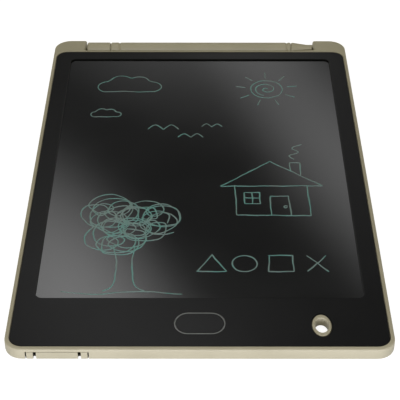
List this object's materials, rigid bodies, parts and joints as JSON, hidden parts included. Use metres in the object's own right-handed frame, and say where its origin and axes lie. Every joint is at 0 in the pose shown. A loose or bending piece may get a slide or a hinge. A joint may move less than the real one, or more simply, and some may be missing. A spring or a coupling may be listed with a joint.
{
  "type": "lcd writing tablet",
  "caption": "Slim LCD writing tablet: a shallow case with a pressure sensitive film, a flush erase key, a coin cell drawer, a lanyard eyelet and a stylus in a trough along its back edge.",
  "frame": {"origin": "under the middle of the case, on the surface that its flat back rests on", "axes": "+Y runs along the case from the wall with the battery drawer to the stylus trough, +Z out of the writing surface, +X to the right for someone who looks at it from the drawer's side"},
  "size_m": [0.146, 0.2252, 0.0071],
  "materials": {
    "shell_plastic": "fine satin moulded plastic, warm beige",
    "stylus_plastic": "fine satin moulded plastic, warm beige, as the shell",
    "panel_plastic": "fine matt black with a soft sheen",
    "key_plastic": "fine matt black, as the panel",
    "trim_grey": "satin grey",
    "film": "semi-gloss black film",
    "backing": "matt black sheet",
    "support": "grey pressed board",
    "tape": "double-sided tape",
    "polyimide": "amber film",
    "circuit_laminate": "green solder mask",
    "screw_steel": "plated steel",
    "cell_steel": "drawn steel can",
    "spring_nickel": "nickel plated spring sheet",
    "chip_epoxy": "black moulding compound",
    "ferrite": "dark grey ferrite",
    "capacitor_ceramic": "tan ceramic with tinned ends",
    "resistor_ceramic": "black glaze with tinned ends",
    "nib_plastic": "dark hard plastic"
  },
  "bodies": {
    "tablet": {"rear_shell": "shell_plastic", "front_panel": "panel_plastic", "panel_adhesive_frame": "tape", "writing_film": "film", "black_backing_sheet": "backing", "support_board": "support", "film_flex_tail": "polyimide", "erase_button_trim_ring": "trim_grey", "snap_dome": "spring_nickel", "circuit_board": "circuit_laminate", "circuit_board_screw_left": "screw_steel", "circuit_board_screw_right": "screw_steel", "driver_chip": "chip_epoxy", "rectifier_diode": "chip_epoxy", "boost_inductor": "ferrite", "chip_capacitor_1": "capacitor_ceramic", "chip_capacitor_2": "capacitor_ceramic", "chip_capacitor_3": "capacitor_ceramic", "chip_capacitor_4": "capacitor_ceramic", "chip_resistor_1": "resistor_ceramic", "chip_resistor_2": "resistor_ceramic", "chip_resistor_3": "resistor_ceramic", "chip_resistor_4": "resistor_ceramic", "negative_contact": "spring_nickel", "positive_contact": "spring_nickel"},
    "erase_key": {"erase_button": "key_plastic"},
    "battery_tray": {"battery_drawer": "shell_plastic", "coin_cell": "cell_steel"},
    "stylus": {"stylus_tail_plug": "stylus_plastic", "stylus_barrel": "stylus_plastic", "stylus_nose_cone": "stylus_plastic", "stylus_nib": "nib_plastic"}
  },
  "joints": [
    {"name": "button_press", "type": "slide", "parent": "tablet", "child": "erase_key", "axis": [0, 0, -1], "range_m": [0, 0.0003], "stiffness_N_per_m": 3000, "deforming": ["snap_dome"]},
    {"name": "drawer_slide", "type": "slide", "parent": "tablet", "child": "battery_tray", "axis": [0, -1, 0], "range_m": [0, 0.024]},
    {"name": "stylus_lift", "type": "slide", "parent": "tablet", "child": "stylus", "axis": [0, 0, 1], "range_m": [0, 0.03]}
  ]
}
